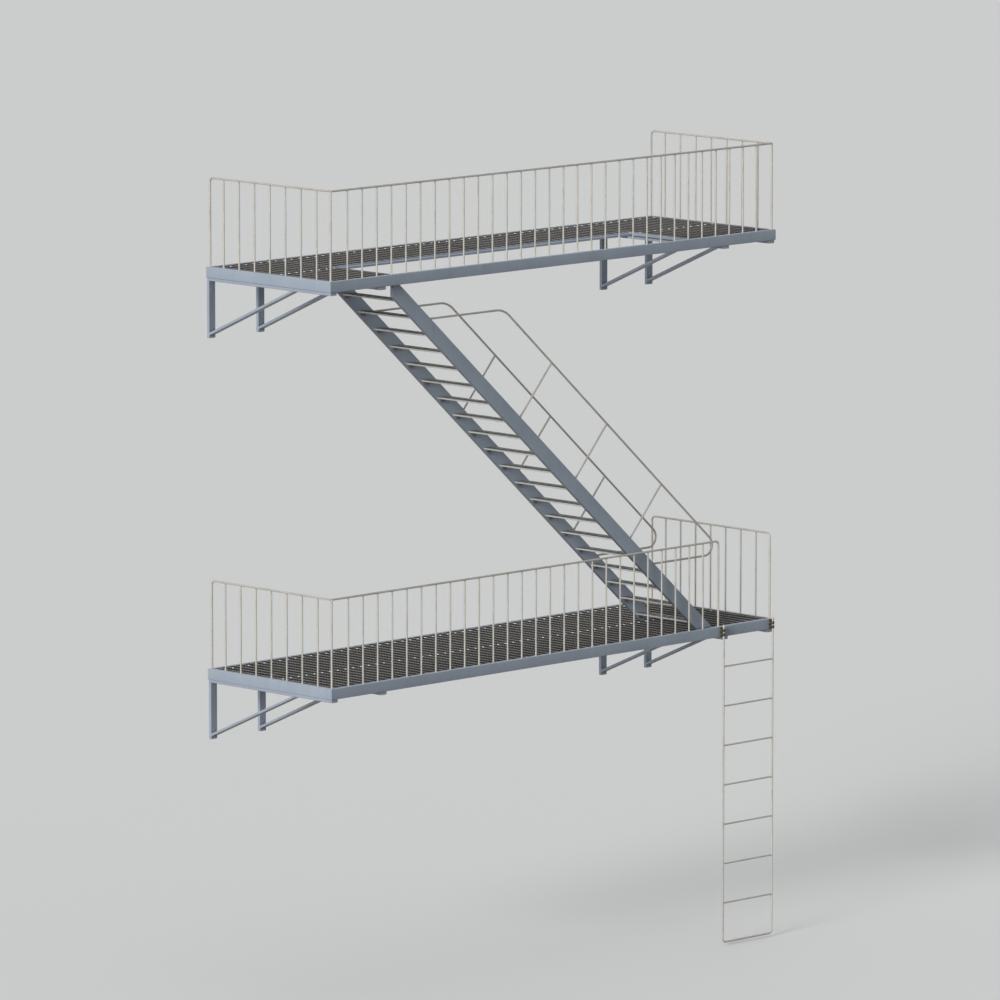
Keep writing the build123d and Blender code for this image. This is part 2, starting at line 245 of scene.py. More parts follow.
def add_bump(tree, shader, height, strength, depth):
    """Let a height pattern tilt the surface: depth in metres, strength as a share of it."""
    bump = tree.nodes.new("ShaderNodeBump")
    bump.inputs["Strength"].default_value = strength
    bump.inputs["Distance"].default_value = depth
    link_chain(tree, height, bump.inputs["Height"], bump.outputs["Normal"], shader.inputs["Normal"])


def object_coordinates(tree):
    """The piece's own coordinates, which here are metres in the CAD frame."""
    return tree.nodes.new("ShaderNodeTexCoord").outputs["Object"]


def read_mark(tree, name):
    """A mark between zero and one that a piece's mesh carries under this name."""
    mark = tree.nodes.new("ShaderNodeAttribute")
    mark.attribute_name = name
    return mark.outputs["Fac"]


print("pattern tools ready")

# %% [markdown]
# The frame is sprayed blue-grey. Flat paint would look like plastic, so it gets faint clouds, rain
# streaks and the orange-peel skin that spraying leaves. Where a mesh carries an "edge" mark the
# paint is rubbed, and where an "under" mark says that a face looks down, the paint is darkened
# as painted shade.

# %% Frame paint
def make_frame_paint():
    """Blue-grey satin paint: clouded tone, rain streaks, orange peel, rubbed edges, painted shade on
    undersides.
    """
    material, tree, shader = new_material("frame_paint")
    where = object_coordinates(tree)
    clouds = add_range(tree, add_noise(tree, where, 2.2, 5.0), 0.35, 0.65, 0.0, 1.0)
    tone = add_mix(tree, clouds, (0.292, 0.338, 0.404), (0.326, 0.374, 0.442))
    streaks = add_noise(tree, where, 16.0, 2.0, (1.0, 1.0, 0.07))
    tone = add_mix(tree, add_range(tree, streaks, 0.50, 0.85, 0.0, 0.28), tone, (0.215, 0.240, 0.265))
    specks = add_range(tree, add_noise(tree, where, 190.0, 2.0), 0.70, 0.80, 0.0, 0.30)
    tone = add_mix(tree, specks, tone, (0.16, 0.165, 0.17))
    rub = tree.nodes.new("ShaderNodeMath")
    rub.operation = "MULTIPLY"
    rub_patches = add_range(tree, add_noise(tree, where, 14.0, 5.0), 0.48, 0.66, 0.0, 0.8)
    link_chain(tree, read_mark(tree, "edge"), rub.inputs[0], rub_patches, rub.inputs[1])
    tone = add_mix(tree, rub.outputs[0], tone, (0.43, 0.45, 0.47))
    # Faces that look down darken towards near black by the under mark: painted shade.
    darker_share = add_range(tree, read_mark(tree, "under"), 0.2, 0.7, 0.0, 0.7)
    tone = add_mix(tree, darker_share, tone, (0.10, 0.10, 0.10))
    gloss = add_range(tree, add_noise(tree, where, 30.0, 3.0), 0.3, 0.7, 0.36, 0.50)
    link_chain(tree, tone, shader.inputs["Base Color"], gloss, shader.inputs["Roughness"])
    shader.inputs["Specular IOR Level"].default_value = 0.5
    add_bump(tree, shader, add_noise(tree, where, 320.0, 2.0), 0.25, 0.0004)
    return material


frame_paint = make_frame_paint()
print("finish:", frame_paint.name)

# %% [markdown]
# Guards and ladder are plain round bar with a thin warm-grey zinc coat. Zinc freezes in flat
# crystals, the spangle, which a Voronoi pattern gives: each cell gets its own slight tone. The
# handrails are the same bar and zinc, in a darker copy that is painted shade, and bolts, rods and
# studs are zinc as well, so one function makes them all and only the colours change. The tread
# back bars' paler copy is a painted highlight, and the studs' bright copy a painted glint.

# %% Zinc-coated steel
def make_zinc_bar(name, light, dark, metallic):
    """Zinc on round bar: spangle cells 12 mm wide, long smears along the bar, fine grain."""
    material, tree, shader = new_material(name)
    where = object_coordinates(tree)
    cells = tree.nodes.new("ShaderNodeTexVoronoi")
    cells.inputs["Scale"].default_value = 85.0
    tree.links.new(where, cells.inputs["Vector"])
    split = tree.nodes.new("ShaderNodeSeparateColor")
    tree.links.new(cells.outputs["Color"], split.inputs["Color"])
    tone = add_mix(tree, split.outputs["Red"], dark, light)
    smears = add_range(tree, add_noise(tree, where, 7.0, 5.0), 0.45, 0.72, 0.0, 0.45)
    tone = add_mix(tree, smears, tone, tuple(0.72 * value for value in dark))
    gloss = add_range(tree, split.outputs["Green"], 0.0, 1.0, 0.34, 0.50)
    link_chain(tree, tone, shader.inputs["Base Color"], gloss, shader.inputs["Roughness"])
    shader.inputs["Metallic"].default_value = metallic
    add_bump(tree, shader, add_noise(tree, where, 420.0, 2.0), 0.2, 0.0003)
    return material


guard_zinc = make_zinc_bar("guard_zinc", (0.56, 0.538, 0.485), (0.47, 0.451, 0.405), 0.25)
# A darker copy of the guard zinc for the handrails: painted shade.
handrail_shaded_zinc = make_zinc_bar("handrail_shaded_zinc", (0.47, 0.451, 0.405), (0.38, 0.365, 0.325), 0.25)
bolt_zinc = make_zinc_bar("bolt_zinc", (0.22, 0.22, 0.215), (0.14, 0.14, 0.137), 0.5)
rod_zinc = make_zinc_bar("rod_zinc", (0.33, 0.32, 0.30), (0.26, 0.25, 0.235), 0.3)
# A paler zinc for the tread back bars: painted highlight for the light on their faces.
lit_bar_zinc = make_zinc_bar("lit_bar_zinc", (0.52, 0.515, 0.49), (0.44, 0.435, 0.41), 0.3)
# A bright zinc for the grating studs: painted glint.
stud_glint_zinc = make_zinc_bar("stud_glint_zinc", (0.66, 0.65, 0.63), (0.58, 0.57, 0.55), 0.1)
zinc_finishes = (guard_zinc, handrail_shaded_zinc, bolt_zinc, rod_zinc, lit_bar_zinc, stud_glint_zinc)
print("finishes:", [finish.name for finish in zinc_finishes])

# %% [markdown]
# The gratings and treads are darker still, with dirt and a little rust in the patches where water
# stands. On the platforms the tops of the bars are paler: a painted highlight where light catches
# them, together with the rub of shoes. The tops all lie at the height of a deck, so that height
# alone finds them and nothing has to be painted by hand.

# %% Walked steel
top_band = 0.0006
# Paler tone of the bar tops: painted highlight together with shoe wear.
lit_and_rubbed_top = (0.16, 0.158, 0.154)
decks = {level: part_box(f"{level}_front_beam")[1][2] for level in ("lower", "upper")}


def make_walked_steel(name, bare, worn, rust_share, lit_and_rubbed_heights=()):
    """Grating steel: mottled dark grey, lighter in patches, rust where water stands, and paler
    bar tops at the given heights, a painted highlight together with the rub of shoes."""
    material, tree, shader = new_material(name)
    where = object_coordinates(tree)
    mottle = add_range(tree, add_noise(tree, where, 9.0, 6.0), 0.32, 0.68, 0.0, 1.0)
    tone = add_mix(tree, mottle, bare, worn)
    rust = add_range(tree, add_noise(tree, where, 3.1, 6.0), 0.55, 0.75, 0.0, rust_share)
    tone = add_mix(tree, rust, tone, (0.105, 0.060, 0.035))
    height = tree.nodes.new("ShaderNodeSeparateXYZ")
    tree.links.new(where, height.inputs["Vector"])
    # Bar tops at these heights turn paler: a painted highlight, together with the rub of shoes.
    for walked in lit_and_rubbed_heights:
        at_top = tree.nodes.new("ShaderNodeMath")
        at_top.operation = "COMPARE"
        at_top.inputs[1].default_value = walked
        at_top.inputs[2].default_value = top_band
        tree.links.new(height.outputs["Z"], at_top.inputs[0])
        tone = add_mix(tree, at_top.outputs[0], tone, lit_and_rubbed_top)
    grit = add_noise(tree, where, 150.0, 3.0)
    tone = add_mix(tree, add_range(tree, grit, 0.58, 0.75, 0.0, 0.4), tone, (0.05, 0.045, 0.04))
    gloss = add_range(tree, mottle, 0.0, 1.0, 0.62, 0.45)
    link_chain(tree, tone, shader.inputs["Base Color"], gloss, shader.inputs["Roughness"])
    shader.inputs["Metallic"].default_value = 0.10
    shader.inputs["Specular IOR Level"].default_value = 0.20
    add_bump(tree, shader, grit, 0.35, 0.0005)
    return material


grating_steel = make_walked_steel(
    "grating_steel", (0.042, 0.041, 0.039), (0.068, 0.066, 0.062), 0.20, decks.values()
)
tread_steel = make_walked_steel("tread_steel", (0.072, 0.072, 0.070), (0.110, 0.109, 0.106), 0.12)
# A paler steel for the nosings: painted highlight along the treads' front edges.
lit_nosing_steel = make_walked_steel("lit_nosing_steel", (0.150, 0.150, 0.147), (0.215, 0.214, 0.208), 0.08)
print("finishes:", [finish.name for finish in (grating_steel, tread_steel, lit_nosing_steel)])

# %% [markdown]
# The clamps that hold the ladder are cast, darker and browner than the steel, with the dull
# greenish film of old brass. A pure metal shader would only mirror the pale room, so it is part
# metal, with the film as a second, rougher tone that gathers in broad patches.

# %% Old brass
def make_old_brass():
    """Cast brass: a dark olive body, film in patches, rubbed edges, a pitted cast skin."""
    material, tree, shader = new_material("old_brass")
    where = object_coordinates(tree)
    darker_share = add_range(tree, add_noise(tree, where, 45.0, 5.0), 0.40, 0.62, 0.0, 1.0)
    tone = add_mix(tree, darker_share, (0.088, 0.069, 0.030), (0.036, 0.034, 0.022))
    rub = add_range(tree, read_mark(tree, "edge"), 0.2, 1.0, 0.0, 0.7)
    tone = add_mix(tree, rub, tone, (0.24, 0.175, 0.075))
    gloss = add_range(tree, darker_share, 0.0, 1.0, 0.36, 0.62)
    link_chain(tree, tone, shader.inputs["Base Color"], gloss, shader.inputs["Roughness"])
    shader.inputs["Metallic"].default_value = 0.6
    add_bump(tree, shader, add_noise(tree, where, 600.0, 3.0), 0.3, 0.0004)
    return material


old_brass = make_old_brass()
print("finish:", old_brass.name)

# %% [markdown]
# ## From grids of points to pieces
# Every new piece is one or more shells, and a shell is a stack of grids: rows along the piece,
# columns round its section. Four neighbours make a face, and the first and last rows are closed
# with one flat face each. Built-in cylinders could be placed one by one, but then a guard of
# forty bars would be forty objects. As arrays, forty bars are one line of arithmetic.

# %% Shells to meshes
def quad_corners(rows, columns):
    """Point numbers of each face: a point, its neighbour round the row, and those two one row on."""
    row = np.arange(rows - 1)[:, None] * columns
    here = np.arange(columns)[None, :]
    after = (here + 1) % columns
    corners = [row + here, row + after, row + columns + after, row + columns + here]
    return np.stack(corners, -1).reshape(-1, 4)


def shell_volume(points, faces):
    """Signed volume: corner a dotted with b x c + c x d, summed over the faces, over six."""
    a, b, c, d = (points[faces[:, k]] for k in range(4))
    return float(np.einsum("ij,ij->", a, np.cross(b, c) + np.cross(c, d)) / 6)


def gather_shells(shells):
    """Stack all shells into one list of points, quads, end caps, flat marks and edge marks."""
    points, quads, caps, flats, edges = [], [], [], [], []
    count = 0
    for grid, column_flat, column_edge in shells:
        copies, rows, columns = grid.shape[:3]
        size = rows * columns
        first = (count + np.arange(copies) * size)[:, None, None]
        quads.append((first + quad_corners(rows, columns)[None]).reshape(-1, 4))
        ring = np.arange(columns)
        caps += (first[:, 0] + ring[::-1]).tolist()
        caps += (first[:, 0] + size - columns + ring).tolist()
        points.append(grid.reshape(-1, 3))
        flats.append(np.tile(column_flat, copies * (rows - 1)))
        edges.append(np.tile(column_edge, copies * rows))
        count += copies * size
    points, quads, flats, edges = (np.concatenate(part) for part in (points, quads, flats, edges))
    return points, quads, caps, flats, edges


def add_piece(name, shells, material, replaced=(), sharp_angle=40.0):
    """Make one object from shells: points and faces go in as whole arrays, then it hangs from the root
    body's empty.
    """
    points, quads, caps, flat, edge = gather_shells(shells)
    if shell_volume(points, quads) < 0:
        quads = quads[:, ::-1]
        caps = [cap[::-1] for cap in caps]
    cap_sizes = np.array([len(cap) for cap in caps], int)
    loops = np.concatenate([quads.ravel(), np.concatenate([np.array(cap) for cap in caps])])
    sizes = np.concatenate([np.full(len(quads), 4), cap_sizes])
    mesh = bpy.data.meshes.new(name)
    mesh.vertices.add(len(points))
    mesh.vertices.foreach_set("co", points.astype(np.float32).ravel())
    mesh.loops.add(len(loops))
    mesh.loops.foreach_set("vertex_index", loops.astype(np.int32))
    mesh.polygons.add(len(sizes))
    loop_starts = np.concatenate([[0], np.cumsum(sizes)[:-1]])
    mesh.polygons.foreach_set("loop_start", loop_starts.astype(np.int32))
    smooth = np.concatenate([~flat, np.zeros(len(caps), bool)])
    mesh.polygons.foreach_set("use_smooth", smooth)
    mesh.update(calc_edges=True)
    mesh.validate()
    mesh.set_sharp_from_angle(angle=math.radians(sharp_angle))
    mark = mesh.attributes.new("edge", "FLOAT", "POINT")
    mark.data.foreach_set("value", edge.astype(np.float32))
    normals = np.empty(3 * len(sizes), np.float32)
    mesh.polygons.foreach_get("normal", normals)
    # How far each face looks down; the frame paint darkens by it as painted shade.
    mark = mesh.attributes.new("under", "FLOAT", "FACE")
    mark.data.foreach_set("value", np.clip(-normals[2::3], 0, 1))
    mesh.materials.append(material)
    piece = bpy.data.objects.new(name, mesh)
    bpy.context.scene.collection.objects.link(piece)
    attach(piece, "root")
    if replaced:
        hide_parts(*replaced)
    print(f"{name}: {len(points)} points, {len(sizes)} faces")


def round_shell(grid):
    """A shell of round section: smooth all the way round, with no rubbed edges."""
    columns = grid.shape[2]
    return grid, np.zeros(columns, bool), np.zeros(columns)


print("shell tools ready")

# %% [markdown]
# ## Round bars
# A round bar is a circle carried along a line. For a straight bar the line has two points; for a
# bent one the corners are first replaced by arcs, as a bending machine does. Blender's curves
# with a bevel would do this too, but here the formula stays in sight and many bars share one mesh.

# %% Straight bars, bent bars and turned shapes
def unit(vectors):
    """Vectors divided by their own lengths."""
    return vectors / np.linalg.norm(vectors, axis=-1, keepdims=True)


def cross_axes(along):
    """Two directions square to each given one, so that first x second = along."""
    upright = np.abs(along[..., 2:]) > 0.9
    helper = np.where(upright, np.array([1.0, 0, 0]), np.array([0, 0, 1.0]))
    first = unit(np.cross(helper, along))
    return first, np.cross(along, first)


def turned(places, along, profile, sides):
    """A profile of (height, radius) pairs turned round an axis at each place:
    place + along * height + radius * (first * cos + second * sin)."""
    along = np.broadcast_to(unit(np.asarray(along, float)), places.shape)
    first, second = cross_axes(along)
    height, radius = np.asarray(profile, float).T
    angle = (np.arange(sides) * 2 * np.pi / sides)[None, None, :, None]
    circle = first[:, None, None, :] * np.cos(angle) + second[:, None, None, :] * np.sin(angle)
    rise = along[:, None, None, :] * height[None, :, None, None]
    return places[:, None, None, :] + rise + circle * radius[None, :, None, None]


def straight_bars(starts, ends, radius, sides=14):
    """Round bars between pairs of points: a circle square to the line, at its two ends."""
    starts, ends = np.asarray(starts, float), np.asarray(ends, float)
    along = unit(ends - starts)
    first, second = cross_axes(along)
    angle = (np.arange(sides) * 2 * np.pi / sides)[None, :, None]
    circle = radius * (first[:, None, :] * np.cos(angle) + second[:, None, :] * np.sin(angle))
    return np.stack([starts[:, None, :] + circle, ends[:, None, :] + circle], 1)


def corner_arcs(before, corner, after, radius, steps):
    """Arcs that replace corners: from the tangent point on one side, turned about the arc's
    centre, to the tangent point on the other side."""
    back, on = unit(before - corner), unit(after - corner)
    half = np.arccos(np.clip((back * on).sum(-1, keepdims=True), -1, 1)) / 2
    radius = np.broadcast_to(np.asarray(radius, float), corner.shape[:1])[:, None]
    centre = corner + unit(back + on) * radius / np.sin(half)
    first = corner + back * radius / np.tan(half) - centre
    last = corner + on * radius / np.tan(half) - centre
    sweep = (np.pi - 2 * half)[:, None, :]
    share = np.linspace(0, 1, steps)[None, :, None]
    blend = np.sin((1 - share) * sweep) * first[:, None, :] + np.sin(share * sweep) * last[:, None, :]
    return centre[:, None, :] + blend / np.sin(sweep)


def bent_bar(points, radii, side, radius, sides=16, steps=9):
    """A round bar in one plane: arcs at the inner corners, then the circle carried along, turned
    with the line's direction about the plane's normal (side)."""
    points = np.asarray(points, float)
    arcs = corner_arcs(points[:-2], points[1:-1], points[2:], radii, steps)
    line = np.concatenate([points[:1], arcs.reshape(-1, 3), points[-1:]])
    step = unit(np.diff(line, axis=0))
    along = unit(np.concatenate([step[:1], step[:-1] + step[1:], step[-1:]]))
    side = np.asarray(side, float)
    normal = np.cross(side, along)
    angle = (np.arange(sides) * 2 * np.pi / sides)[None, :, None]
    circle = normal[:, None, :] * np.cos(angle) + side * np.sin(angle)
    return (line[:, None, :] + radius * circle)[None]


weld_overlap = 0.0002


def weld_collars(places, along, bar_radius, leg):
    """Fillet welds round bars: a hollow quarter profile from the plate up onto the bar."""
    profile = [
        (0, bar_radius + leg), (0.25 * leg, bar_radius + 0.8 * leg),
        (0.6 * leg, bar_radius + 0.35 * leg), (leg, bar_radius - weld_overlap),
    ]
    return turned(np.asarray(places, float), along, profile, 12)


print("bar tools ready")

# %% [markdown]
# ## Guards
# Each platform has a guard on three sides: a top rail, end posts and thin balusters welded to
# the flange below and to the rail above. The CAD bars are eight-sided stand-ins, so each guard is
# made again from round bar in the same places. At the wall, and at the ladder, the rail is bent
# down to become its own end post; at the outer corners it meets a straight post.

# %% Guard bars
guard_height = 0.923
guard_inset = 0.032
rail_radius = 0.011
baluster_radius = 0.009
guard_bend = 0.045
corner_elbow = 0.0125
weld_leg = 0.005
front_end_bay, front_spacing = 0.237, 0.209
side_end_bay, side_spacing = 0.205, 0.232
own_post_setback = 0.006
frame_low, frame_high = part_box("upper_front_beam")
left_end, right_end, front_face = frame_low[0], frame_high[0], frame_low[1]
front_line = front_face + guard_inset


def even_places(start, end, end_bay, spacing):
    """Baluster places between two posts: equal bays near the wanted spacing, after an end bay."""
    bays = round((end - start - 2 * end_bay) / spacing)
    return np.linspace(start + end_bay, end - end_bay, bays + 1)


def guard_shells(rail_line, bends, side, feet, posts):
    """Rail, balusters and welds. The balusters end inside the rail, the welds close their joints."""
    heads = feet + np.array([0, 0, guard_height])
    up = (0, 0, 1)
    under_rail = heads - np.array([0, 0, rail_radius - 0.3 * weld_leg])
    shells = [
        bent_bar(rail_line, bends, side, rail_radius),
        straight_bars(feet, heads, baluster_radius),
        weld_collars(feet, up, baluster_radius, weld_leg),
        weld_collars(posts, up, rail_radius, weld_leg),
        weld_collars(under_rail, (0, 0, -1), baluster_radius, weld_leg),
    ]
    return [round_shell(grid) for grid in shells]


def front_guard(level, end, end_bend):
    """Balusters along X in the plane of the front beam."""
    deck = decks[level]
    start, top = left_end + guard_inset, deck + guard_height
    x = even_places(start, end, front_end_bay, front_spacing)
    feet = np.stack([x, np.full_like(x, front_line), np.full_like(x, deck)], -1)
    turns = ((start, deck), (start, top), (end, top), (end, deck))
    line = [(place, front_line, height) for place, height in turns]
    posts = np.array([line[0], line[3]])
    shells = guard_shells(line, [corner_elbow, end_bend], (0, 1, 0), feet, posts)
    add_piece(f"{level}_front_guard_bars", shells, guard_zinc, [f"{level}_front_guard"])


def side_guard(level, name, place, wall_end, own_post):
    """Balusters along Y at one end of a platform; own_post gives it a bent front post too."""
    deck = decks[level]
    top = deck + guard_height
    front = front_line + (own_post_setback if own_post else 0.0)
    y = even_places(front, wall_end, side_end_bay, side_spacing)
    feet = np.stack([np.full_like(y, place), y, np.full_like(y, deck)], -1)
    turns = ((front, deck), (front, top), (wall_end, top), (wall_end, deck))
    line = [(place, along_y, height) for along_y, height in turns]
    bends = [guard_bend, guard_bend]
    posts = np.array([line[0], line[3]])
    if not own_post:
        line = [(place, front + rail_radius, top), *line[2:]]
        bends = [guard_bend]
        posts = posts[1:]
    shells = guard_shells(line, bends, (1, 0, 0), feet, posts)
    add_piece(f"{level}_{name}_guard_bars", shells, guard_zinc, [f"{level}_{name}_guard"])


left_line, right_line = left_end + guard_inset, right_end - guard_inset
wall_line = -0.031
ladder_wall_line = -0.058
ladder_gap = 0.802
front_guard("upper", right_line, corner_elbow)
front_guard("lower", right_line - ladder_gap, guard_bend)
for level in decks:
    side_guard(level, "left", left_line, wall_line, False)
side_guard("upper", "right", right_line, wall_line, False)
side_guard("lower", "right", right_line, ladder_wall_line, True)

# %% [markdown]
# ## Rolled sections
# Beams, stringers, bracket arms and braces are rolled steel, and rolled steel has no knife
# edges: outer corners are slightly round, and a channel has a fillet where its flanges meet the
# web. A Bevel modifier on the CAD copy would round the mitred ends as well, which stay sharp on
# the real frame. So the outline is drawn once with its radii and carried along a straight line,
# with each outline point given its own start and end, which makes mitres and slanting cuts.

# %% Outlines and straight sweeps
def rounded_outline(corners, radii, steps=5):
    """A closed outline whose corners are replaced by arcs. Also marks the flat runs and the edges."""
    corners = np.asarray(corners, float)
    arcs = corner_arcs(np.roll(corners, 1, 0), corners, np.roll(corners, -1, 0), radii, steps)
    number = np.tile(np.arange(steps), len(corners))
    flat = number == steps - 1
    edge = np.sin(np.pi * number / (steps - 1))
    return arcs.reshape(-1, 2), flat, edge


def box_corners(width, height):
    """Corners of a rectangle that starts at zero and runs to width and height."""
    return [(0, 0), (width, 0), (width, height), (0, height)]


def straight_sweep(outline, origin, across, up, along, starts, ends):
    """Outline point (a, b) runs from origin + across * a + up * b + along * start to the same
    with its end; starts and ends are one number for all outline points, or one for each."""
    across, up, along = (np.asarray(axis, float) for axis in (across, up, along))
    base = np.asarray(origin, float) + outline[:, :1] * across + outline[:, 1:] * up
    reach = np.stack([np.broadcast_to(cut, len(outline)) for cut in (starts, ends)])[..., None]
    return (base[None] + reach * along)[None]


print("sweep tools ready")

# %% [markdown]
# ### Platform frames
# Four channels lie on edge round each platform, web outside, and meet in mitres. The channel's
# outline is read from the outer face inwards and from the top down. At a mitre of 45 degrees a
# point that lies so far inside the face starts just as far along the beam.

# %% Channels
beam_height = 0.112
flange = 0.050
web = 0.008
channel_corners = [
    (0, 0), (0, -beam_height), (flange, -beam_height), (flange, -beam_height + web),
    (web, -beam_height + web), (web, -web), (flange, -web), (flange, 0),
]
channel_radii = [0.004, 0.004, 0.002, 0.004, 0.006, 0.006, 0.004, 0.002]
channel_outline, channel_flat, channel_edge = rounded_outline(channel_corners, channel_radii)


def mitred_channel(name, start, end, inward, level):
    """The channel outline carried from corner to corner, each point cut back by its own depth."""
    start, end, inward = (np.array([*p, 0.0]) for p in (start, end, inward))
    start[2] = decks[level]
    along = end - start
    along[2] = 0
    length = np.linalg.norm(along)
    depth = channel_outline[:, 0]
    grid = straight_sweep(channel_outline, start, inward, (0, 0, 1), along / length, depth, length - depth)
    shell = (grid, channel_flat, channel_edge)
    add_piece(f"{level}_{name}_channel", [shell], frame_paint, [f"{level}_{name}_beam"])


for level in decks:
    back_left, back_right = (left_end, 0.0), (right_end, 0.0)
    front_left, front_right = (left_end, front_face), (right_end, front_face)
    mitred_channel("front", front_left, front_right, (0, 1), level)
    mitred_channel("wall", back_left, back_right, (0, -1), level)
    mitred_channel("left", back_left, front_left, (1, 0), level)
    mitred_channel("right", back_right, front_right, (-1, 0), level)

# %% [markdown]
# ### Stringers
# The flight hangs between two deep flat bars. Their upper end is cut upright against the header
# joist, and their foot is cut level on the lower platform. Each outline point finds its own start
# and end on those two planes, so no boolean cut is needed.

# %% Stringers
stringer_depth = 0.155
stringer_thick = 0.044
stringer_rounding = 0.003
tread_edge_rise = 0.027
tread_count = 20
tread_boxes = [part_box(f"tread_{number + 1:02d}") for number in range(tread_count)]
(first_low, first_high), (last_low, last_high) = tread_boxes[0], tread_boxes[-1]
riser = (first_high[2] - last_high[2]) / (tread_count - 1)
going = (last_low[0] - first_low[0]) / (tread_count - 1)
slope = math.atan2(riser, going)
down_slope = np.array([math.cos(slope), 0, -math.sin(slope)])
slope_normal = np.array([math.sin(slope), 0, math.cos(slope)])
stringer_edge_origin = np.array(
    [first_low[0], 0, first_high[2] - tread_edge_rise + stringer_depth / math.cos(slope)]
)
stringer_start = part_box("front_stringer")[0][0]


def stringer_bar(side):
    """A rounded flat bar along the slope, cut by an upright plane above and a level one below."""
    outline, flat, edge = rounded_outline(box_corners(stringer_thick, -stringer_depth), stringer_rounding)
    origin = stringer_edge_origin + np.array([0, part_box(f"{side}_stringer")[0][1], 0])
    drop = outline[:, 1]
    starts = (stringer_start - origin[0] - math.sin(slope) * drop) / math.cos(slope)
    ends = (origin[2] - decks["lower"] + math.cos(slope) * drop) / math.sin(slope)
    grid = straight_sweep(outline, origin, (0, 1, 0), slope_normal, down_slope, starts, ends)
    shell = (grid, flat, edge)
    add_piece(f"{side}_stringer_bar", [shell], frame_paint, [f"{side}_stringer"])


for side in ("front", "back"):
    stringer_bar(side)

# %% [markdown]
# ### Wall brackets
# Under each platform stand four brackets: an arm, a wall post and a sloping brace, cut from the
# same wide bar. The post stays as CAD because its anchor holes matter. Arm and brace are swept
# with round corners, and weld beads close the joints. A bead is a thin half-sunk bar whose
# thickness rises and falls along it, like the ripples a welder leaves.

# %% Arms, braces and their welds
bracket_width = 0.084
bracket_pitch = 0.697
arm_thick = 0.034
brace_thick = 0.026
brace_reach = 1.276
brace_foot = 0.551
bracket_rounding = 0.004
bead_radius = 0.004
bead_ripples = 12
arm_corners, brace_corners = (box_corners(bracket_width, thick) for thick in (arm_thick, brace_thick))
arm_outline, arm_flat, arm_edge = rounded_outline(arm_corners, bracket_rounding)
brace_outline, brace_flat, brace_edge = rounded_outline(brace_corners, bracket_rounding)


def weld_beads(starts, ends, radius, ripples):
    """Bars from point to point whose radius swells as 1 + 0.15 sin along the line."""
    starts, ends = np.asarray(starts, float), np.asarray(ends, float)
    share = np.linspace(0, 1, 4 * ripples + 1)
    swell = radius * (1 + 0.15 * np.sin(2 * np.pi * ripples * share))
    swell[[0, -1]] *= 0.4
    length = np.linalg.norm(ends - starts, axis=-1).mean()
    return turned(starts, ends - starts, np.stack([share * length, swell], -1), 8)


def bracket_lefts(post_low, post_high):
    """Left sides of the four brackets, which stand in pairs at the platform's two ends."""
    first, last = post_low[0], post_high[0] - bracket_width
    return np.array([first, first + bracket_pitch, last - bracket_pitch, last])


def bracket_pieces(level):
    """Arms run from the wall to the front beam; braces are cut on the post and under the arm."""
    post_low, post_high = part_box(f"{level}_wall_posts")
    arm_reach = -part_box(f"{level}_bracket_arms")[0][1]
    lefts = bracket_lefts(post_low, post_high)
    under = post_high[2]
    run, rise = brace_reach - arm_thick, brace_foot
    tilt = math.atan2(rise, run)
    outward = np.array([0, -math.cos(tilt), math.sin(tilt)])
    normal = np.array([0, math.sin(tilt), math.cos(tilt)])
    middle = brace_outline[:, 1] - brace_thick / 2
    begin = middle * math.tan(tilt)
    finish = (rise - math.cos(tilt) * middle) / math.sin(tilt)
    arms, braces = [], []
    for left in lefts:
        seat = (left, 0, under)
        arms.append(straight_sweep(arm_outline, seat, (1, 0, 0), (0, 0, 1), (0, -1, 0), 0, arm_reach))
        foot = np.array([left, -arm_thick, under - rise]) - normal * brace_thick / 2
        braces.append(straight_sweep(brace_outline, foot, (1, 0, 0), normal, outward, begin, finish))
    half_up = brace_thick / 2 / math.cos(tilt)
    half_out = brace_thick / 2 / math.sin(tilt)
    seats = [
        (-arm_thick, under - rise + half_up), (-arm_thick, under - rise - half_up),
        (-brace_reach + half_out, under), (-brace_reach - half_out, under), (-arm_thick, under),
    ]
    bead_starts = np.array([(left, y, z) for left in lefts for y, z in seats])
    bead_ends = bead_starts + np.array([bracket_width, 0, 0])
    beads = weld_beads(bead_starts, bead_ends, bead_radius, bead_ripples)
    stack = [(np.concatenate(arms), arm_flat, arm_edge)]
    add_piece(f"{level}_arm_bars", stack, frame_paint, [f"{level}_bracket_arms"])
    stack = [(np.concatenate(braces), brace_flat, brace_edge)]
    add_piece(f"{level}_brace_bars", stack, frame_paint, [f"{level}_bracket_braces"])
    add_piece(f"{level}_bracket_welds", [round_shell(beads)], frame_paint)


for level in decks:
    bracket_pieces(level)

# %% [markdown]
# ### Wall anchors
# Two anchors hold each post to the wall. On the post's face one sees a washer and a thin hexagon
# head, painted over with the post. Both are turned profiles, the head with six sides and a
# chamfer, so the same function serves later for the bolts of the treads and the clamps.

# %% Washers and hexagon heads
anchor_half_spacing = 0.2
anchor_across, anchor_head = 0.017, 0.003
least_washer = 0.0012
hexagon_angle = 25.0


def fastener_shells(places, along, across_flats, height):
    """A washer, and on it a hexagon head with a chamfered rim."""
    corner_radius = across_flats / math.sqrt(3)
    washer = 0.16 * height + least_washer
    rim = 1.25 * corner_radius
    chamfer = 0.12 * corner_radius
    washer_profile = [(0, rim), (washer, rim), (washer, 0.6 * corner_radius)]
    head_profile = [
        (washer, 0.96 * corner_radius), (washer + chamfer / 2, corner_radius),
        (washer + height - chamfer / 2, corner_radius), (washer + height, corner_radius - chamfer),
    ]
    shells = [turned(places, along, washer_profile, 16), turned(places, along, head_profile, 6)]
    return [round_shell(grid) for grid in shells]


